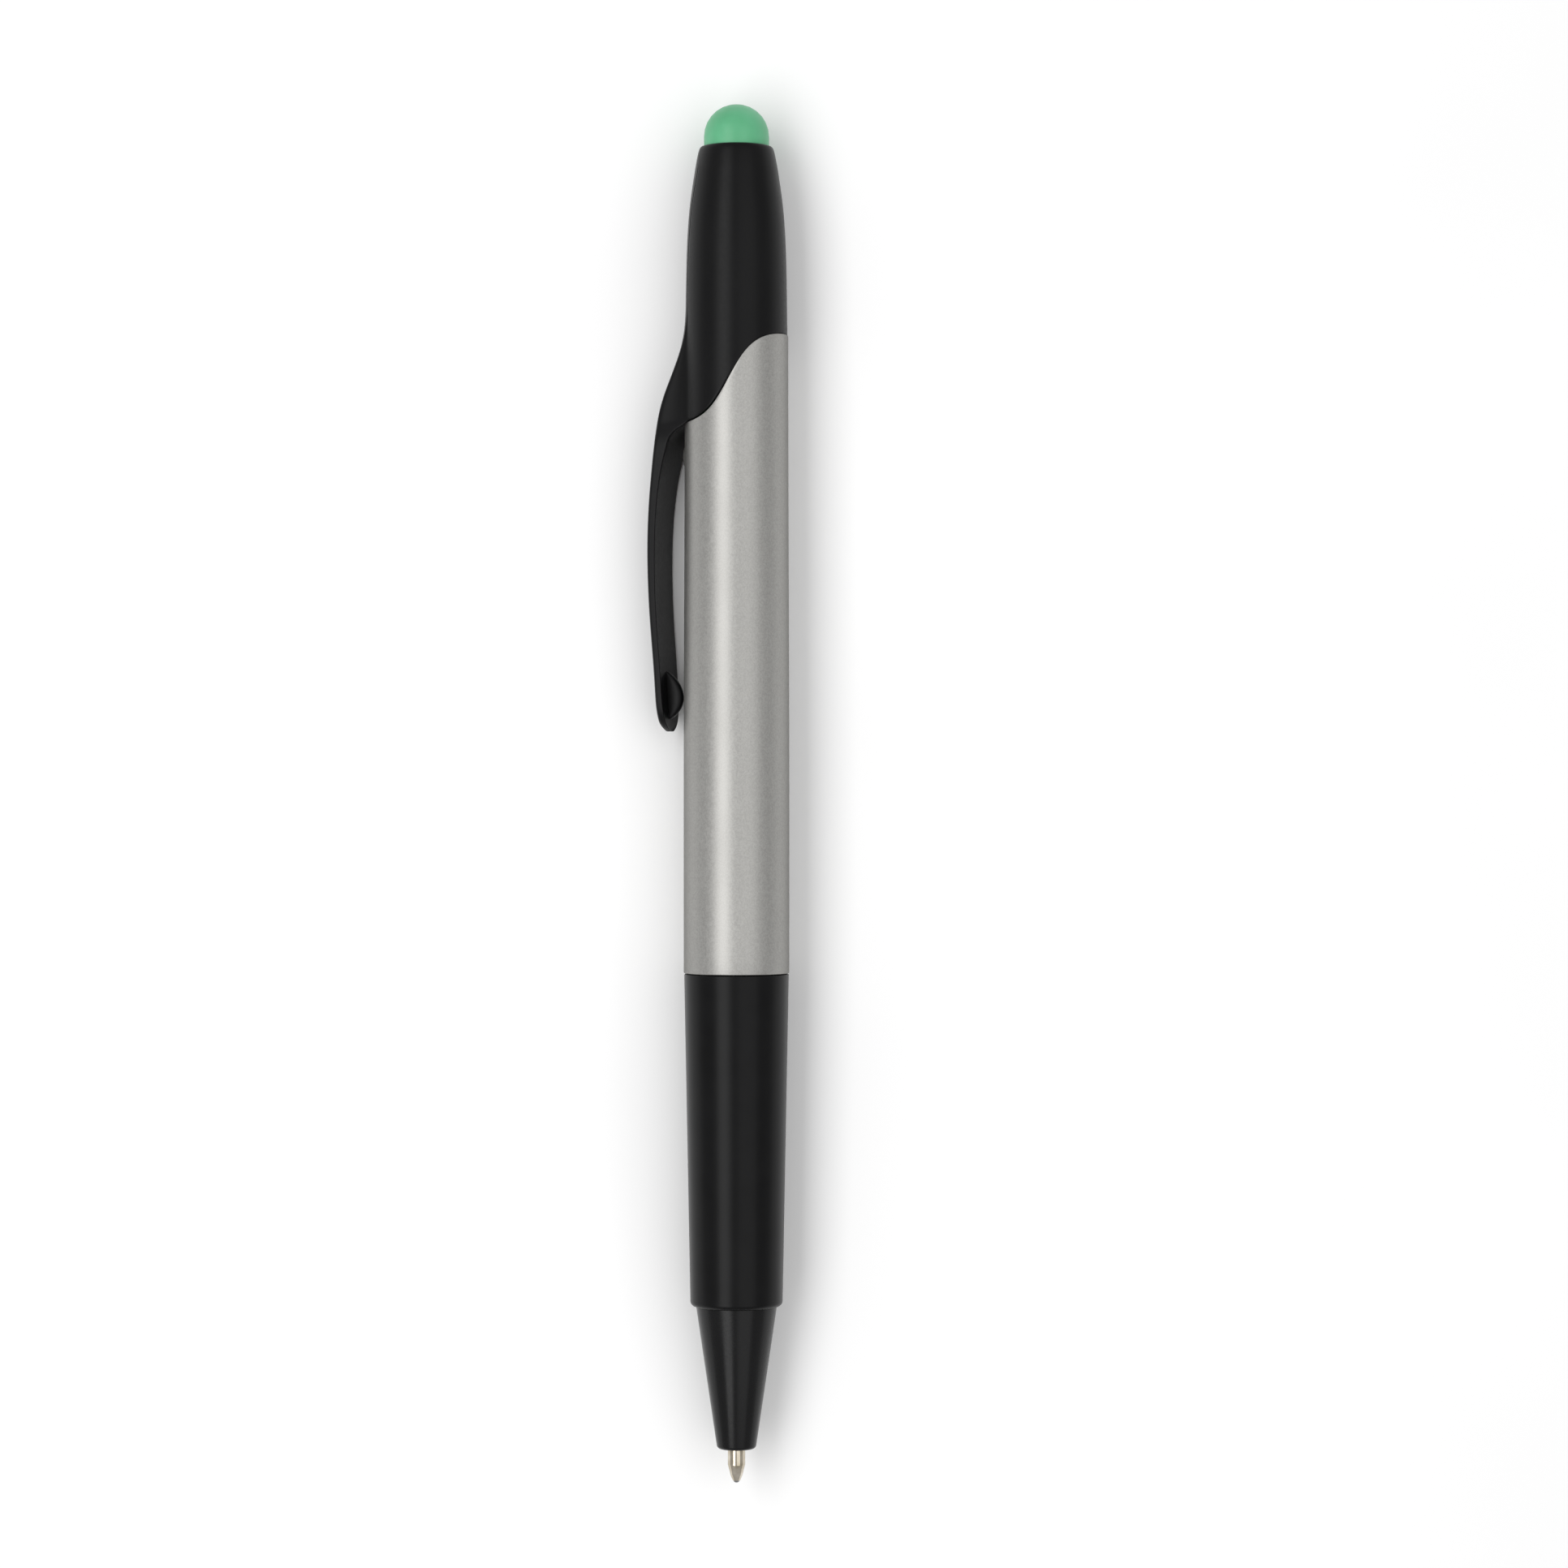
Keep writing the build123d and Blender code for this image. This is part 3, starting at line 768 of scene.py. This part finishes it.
def nib():
    """The felt nib: a round rod cut by a long slanting writing face and a short back bevel."""
    bm = bmesh.new()
    sides, edge, soft = 72, 0.28, 0.1

    def face_station(y, z):
        front = 11.54 + (-0.4 * (y - 0.35) + 0.72 * (z + 0.6)) / 0.56
        back = 11.69 + (0.1 * (y + 0.3) - 0.68 * (z + 1.1)) / 0.72
        return (front + back + sqrt((front - back) ** 2 + soft)) / 2

    def top_ring(r):
        points = []
        inset = max(0.0, r - (NIB_R - edge))
        drop = (edge - sqrt(max(0.0, edge * edge - inset * inset))) * 1.6
        for k in range(sides):
            y, z = r * cos(2 * pi * k / sides), r * sin(2 * pi * k / sides)
            points.append(Vector((face_station(y, z) + drop, y, z)))
        return points

    centre = bm.verts.new((face_station(0, 0), 0, 0))
    steps = (
        0.25, 0.55, 0.85, 1.15, 1.4, NIB_R - edge, NIB_R - 0.2, NIB_R - 0.12, NIB_R - 0.05,
        NIB_R - 0.01, NIB_R,
    )
    rings = [add_ring(bm, top_ring(r)) for r in steps]
    rim = top_ring(NIB_R)
    for s in (15.2, 18.0, 24.0, 29.9):
        share = 1 if s > 16 else 0.5
        rings.append(add_ring(bm, [Vector((p.x + (s - p.x) * share, p.y, p.z)) for p in rim]))
    for s, r in ((30.6, 1.35), (31.4, 0.8)):
        rings.append(add_ring(bm, [Vector((s, p.y * r / NIB_R, p.z * r / NIB_R)) for p in rim]))
    for k in range(sides):
        bm.faces.new((centre, rings[0][k], rings[0][(k + 1) % sides]))
    skin(bm, rings)
    bm.faces.new(rings[-1])
    return new_piece("nib", bm, "barrel", NIB_FELT, ("highlighter_nib",))


# ---- grip section and nose ---------------------------------------------------------------------------
def grip():
    """The soft sleeve, tapered, with a rounded lip where the nose comes out of it."""
    foot_r = 5.24
    corners = [
        (GRIP_TOP, 4.85, 0), (GRIP_TOP, 5.95, 0.11), (GRIP_END, foot_r, 0.6), (GRIP_END, 4.6, 0),
    ]
    outline = rounded(corners)
    bm = bmesh.new()
    spin(bm, outline + outline[:1], 128)
    bmesh.ops.remove_doubles(bm, verts=bm.verts, dist=1e-5)
    return new_piece("grip", bm, "lower_section", GRIP, ("grip_sleeve",))


def nose():
    """The tapered nose with its spigot in the core and the hole that the point comes out of."""
    hole = POINT_R + 0.08
    corners = [
        (130.5, 1.75, 0), (130.5, 3.55, 0.1), (136.45, 3.55, 0), (136.45, 4.58, 0.08), (136.7, 4.58, 0.1),
        (CONE_END, 2.2, 0.45), (CONE_END, hole, 0.06), (SPRING_SEAT, hole, 0), (SPRING_SEAT, 1.75, 0),
    ]
    return turned_piece(
        "nose", corners, "lower_section", BLACK_NOSE, ("nose_cone",), closed=True,
    )


# ---- refill ------------------------------------------------------------------------------------------
def writing_point():
    """The turned metal point: spigot, flange for the spring, barrel and the nose rolled over the ball."""
    seat = LENGTH - BALL_R
    corners = [
        (142.0, 0.2, 0), (142.0, 0.93, 0.08), (TUBE_END, 0.93, 0), (TUBE_END, 1.42, 0.06),
        (TUBE_END + 0.5, 1.42, 0.06), (TUBE_END + 0.5, POINT_R, 0.03), (154.6, POINT_R, 0.4),
        (155.2, 0.84, 0.3), (155.8, 0.7, 0.8), (seat + 0.13, 0.43, 0.03), (seat + 0.11, 0.405, 0),
        (seat - 0.05, 0.42, 0), (seat - 0.2, 0.375, 0), (seat - 0.4, 0.2, 0),
    ]
    return turned_piece("writing_point", corners, "refill", NICKEL, ("refill_point",),
                        sides=64, closed=True)


def ball():
    """The writing ball."""
    bm = bmesh.new()
    centre = LENGTH - BALL_R
    half_turn = [pi * k / 16 for k in range(17)]
    spin(bm, [Vector((centre - BALL_R * cos(a), BALL_R * sin(a))) for a in half_turn], 32)
    return new_piece("ball", bm, "refill_ball", CARBIDE, ("refill_ball",))


def spring():
    """The return spring's wire, wound as a helix between the point's flange and the nose."""
    bm = bmesh.new()
    coil_r, wire_r, turns = 1.4, 0.14, 8
    flange, gap = 0.5, wire_r + 0.02
    start, end = TUBE_END + flange + gap, SPRING_SEAT - gap
    steps = 28 * turns
    rings = []
    for i in range(steps + 1):
        a = 2 * pi * turns * i / steps
        s = start + (end - start) * i / steps
        out = Vector((0, cos(a), sin(a)))
        ring = []
        for k in range(10):
            b = 2 * pi * k / 10
            point = out * (coil_r + wire_r * cos(b))
            ring.append(Vector((s + wire_r * sin(b), point.y, point.z)))
        rings.append(add_ring(bm, ring))
    skin(bm, rings)
    bm.faces.new(rings[0])
    bm.faces.new(rings[-1])
    piece = new_piece("spring", bm, None, SPRING_WIRE, ("return_spring",), crisp=0)
    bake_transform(piece)
    return piece


cap_with_clip()
stylus()
barrel_shell()
highlighter_tube()
nib()
grip()
nose()
writing_point()
ball()
spring()

# ---- finishes of the pieces that keep their CAD shape ------------------------------------------------
KEPT = {
    "inner_cap": LINER, "stylus_plug": ACETAL, "ink_reservoir": RESERVOIR, "reservoir_end_plug": ACETAL,
    "cam_sleeve": ACETAL, "cam_follower": ACETAL, "swivel_bush": ACETAL, "twist_o_ring": O_RING,
    "lower_barrel": BLACK_CORE, "refill_tube": TUBE, "refill_ink": INK,
}
for name, material in KEPT.items():
    for place in frame["nodes"][name].material_slots:
        place.material = material

# ---- floor, light and camera -------------------------------------------------------------------------
PEN_Y = ORIGIN.y
FRAME_WIDTH = 0.1783        # what the camera sees across at the pen's height
LENS, SENSOR = 100.0, 36.0


def studio_floor():
    """Smooth white card under the pen."""
    bm = bmesh.new()
    half = 1.5
    square = ((-half, -half), (half, -half), (half, half), (-half, half))
    bm.faces.new([bm.verts.new((x, y, 0)) for x, y in square])
    mesh = bpy.data.meshes.new("floor")
    bm.to_mesh(mesh)
    bm.free()
    floor = bpy.data.objects.new("floor", mesh)
    bpy.context.scene.collection.objects.link(floor)
    material, tree, shader, where = finish_of("white card", Roughness=0.9, Specular_IOR_Level=0.1)
    tint(tree, shader, spread(tree, speckle(tree, where, 40.0), 0, 1), "#f8f8f8", "#fafafa")
    mesh.materials.append(material)
    return floor


def softbox(name, where, aim, size, power, colour="#ffffff"):
    """A rectangular softbox, long side along the pen, aimed at a point."""
    data = bpy.data.lights.new(name, "AREA")
    data.shape = "RECTANGLE"
    data.size, data.size_y = size
    data.energy = power
    data.color = linear(colour)[:3]
    light = bpy.data.objects.new(name, data)
    light.location = where
    direction = Vector(aim) - Vector(where)
    sideways = Vector((1, 0, 0))
    back = -direction.normalized()
    up = back.cross(sideways).normalized()
    light.matrix_world = Matrix((
        (sideways.x, up.x, back.x, where[0]),
        (sideways.y, up.y, back.y, where[1]),
        (sideways.z, up.z, back.z, where[2]),
        (0, 0, 0, 1),
    ))
    bpy.context.scene.collection.objects.link(light)
    return light


studio_floor()
softbox("key strip", (0, PEN_Y - 0.29, 0.53), (0, PEN_Y, 0), (0.9, 0.29), 2.3)
softbox("wide fill", (0, PEN_Y + 0.3, 0.62), (0, PEN_Y, 0), (1.0, 0.55), 1.5)

world = bpy.data.worlds.new("studio")
bpy.context.scene.world = world
world.use_nodes = True
background = world.node_tree.nodes["Background"]
background.inputs["Color"].default_value = (1, 1, 1, 1)
background.inputs["Strength"].default_value = 0.5

camera_data = bpy.data.cameras.new("camera")
camera_data.lens = LENS
camera_data.sensor_width = SENSOR
camera = bpy.data.objects.new("camera", camera_data)
camera.location = (-0.0011, PEN_Y + 0.0054, ORIGIN.z + FRAME_WIDTH * LENS / SENSOR)
camera.rotation_euler = (0, 0, radians(90))
bpy.context.scene.collection.objects.link(camera)
bpy.context.scene.camera = camera
bpy.context.scene.view_settings.view_transform = "Standard"
